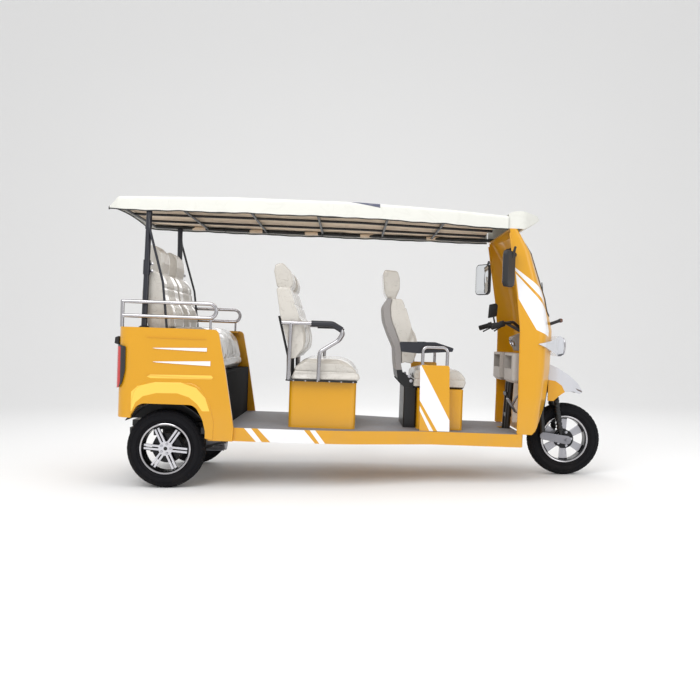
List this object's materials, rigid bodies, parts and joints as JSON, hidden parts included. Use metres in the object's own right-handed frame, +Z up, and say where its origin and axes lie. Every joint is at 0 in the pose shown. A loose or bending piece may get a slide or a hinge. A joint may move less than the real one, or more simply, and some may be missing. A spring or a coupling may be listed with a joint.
{
  "type": "auto rickshaw",
  "caption": "Three-wheeled electric auto rickshaw with an open side, three rows of seats, a fabric roof and a steered front wheel.",
  "frame": {"origin": "on the ground under the middle of the vehicle's box", "axes": "+X forward, +Y to the vehicle's left, +Z up"},
  "size_m": [3.3603, 1.1528, 1.9326],
  "materials": {
    "body_yellow": "gloss paint",
    "body_white": "gloss paint",
    "chassis_black": "semi-gloss paint",
    "canopy_cream": "coated canvas",
    "lining_cloth": "plain cloth",
    "seat_cover": "imitation leather under clear film",
    "trim_black": "moulded",
    "plastic_grey": "moulded",
    "mat_grey": "ribbed",
    "seal_rubber": "moulded",
    "tyre": "treaded",
    "rim_silver": "machined and painted",
    "chrome": "polished",
    "steel": "brushed",
    "glass": "clear",
    "lamp_red": "clear red"
  },
  "bodies": {
    "chassis": {"chassis_frame": "chassis_black", "floor_pan": "body_yellow", "floor_mat": "mat_grey", "rear_side_panel_right": "body_yellow", "rear_side_panel_left": "body_yellow", "rear_panel": "body_yellow", "tail_lamps": "lamp_red", "wheel_liners": "trim_black", "rear_rails": "chrome", "roof_posts": "chassis_black", "roof_frame": "chassis_black", "roof_lining": "lining_cloth", "roof_canopy": "canopy_cream", "front_visor": "canopy_cream", "front_shell": "body_yellow", "windshield_frame": "body_yellow", "windshield_glass": "glass", "windshield_seal": "seal_rubber", "headlight": "trim_black", "headlight_lens": "glass", "front_indicators": "trim_black", "front_mudguard": "body_white", "mirrors": "trim_black", "front_bulkhead": "body_yellow", "glove_boxes": "plastic_grey", "brake_pedal": "steel", "driver_side_guards": "body_yellow", "driver_guard_hoops": "chrome", "driver_arm_pads": "trim_black", "driver_seat_box": "body_yellow", "driver_rear_cabinet": "chassis_black", "driver_cushion": "seat_cover", "driver_back_shell": "plastic_grey", "driver_backrest": "seat_cover", "middle_seat_box": "body_yellow", "battery_pack": "trim_black", "middle_seat_pan": "chassis_black", "middle_cushion": "seat_cover", "middle_backrests": "seat_cover", "middle_armrests": "chrome", "middle_arm_pads": "seal_rubber", "rear_seat_base": "chassis_black", "rear_cushion": "seat_cover", "rear_backrests": "seat_cover", "rear_axle": "chassis_black", "drive_motor": "steel", "leaf_springs": "chassis_black"},
    "steering": {"fork": "chassis_black", "shocks": "chassis_black", "handlebar": "trim_black", "instrument_block": "plastic_grey"},
    "front_wheel": {"front_tyre": "tyre", "front_rim": "rim_silver"},
    "rear_wheel_right": {"rear_tyre_right": "tyre", "rear_rim_right": "rim_silver"},
    "rear_wheel_left": {"rear_tyre_left": "tyre", "rear_rim_left": "rim_silver"}
  },
  "joints": [
    {"name": "steering_turn", "type": "hinge", "parent": "chassis", "child": "steering", "pos_m": [1.30473, 0, 0.61], "axis": [-0.3584, 0, 0.9336], "range_deg": [-38, 38]},
    {"name": "front_wheel_spin", "type": "hinge", "parent": "steering", "child": "front_wheel", "pos_m": [1.425, 0, 0.255], "axis": [0, 1, 0], "continuous": true},
    {"name": "rear_wheel_right_spin", "type": "hinge", "parent": "chassis", "child": "rear_wheel_right", "pos_m": [-1.3, -0.46, 0.255], "axis": [0, 1, 0], "continuous": true},
    {"name": "rear_wheel_left_spin", "type": "hinge", "parent": "chassis", "child": "rear_wheel_left", "pos_m": [-1.3, 0.46, 0.255], "axis": [0, 1, 0], "continuous": true}
  ]
}
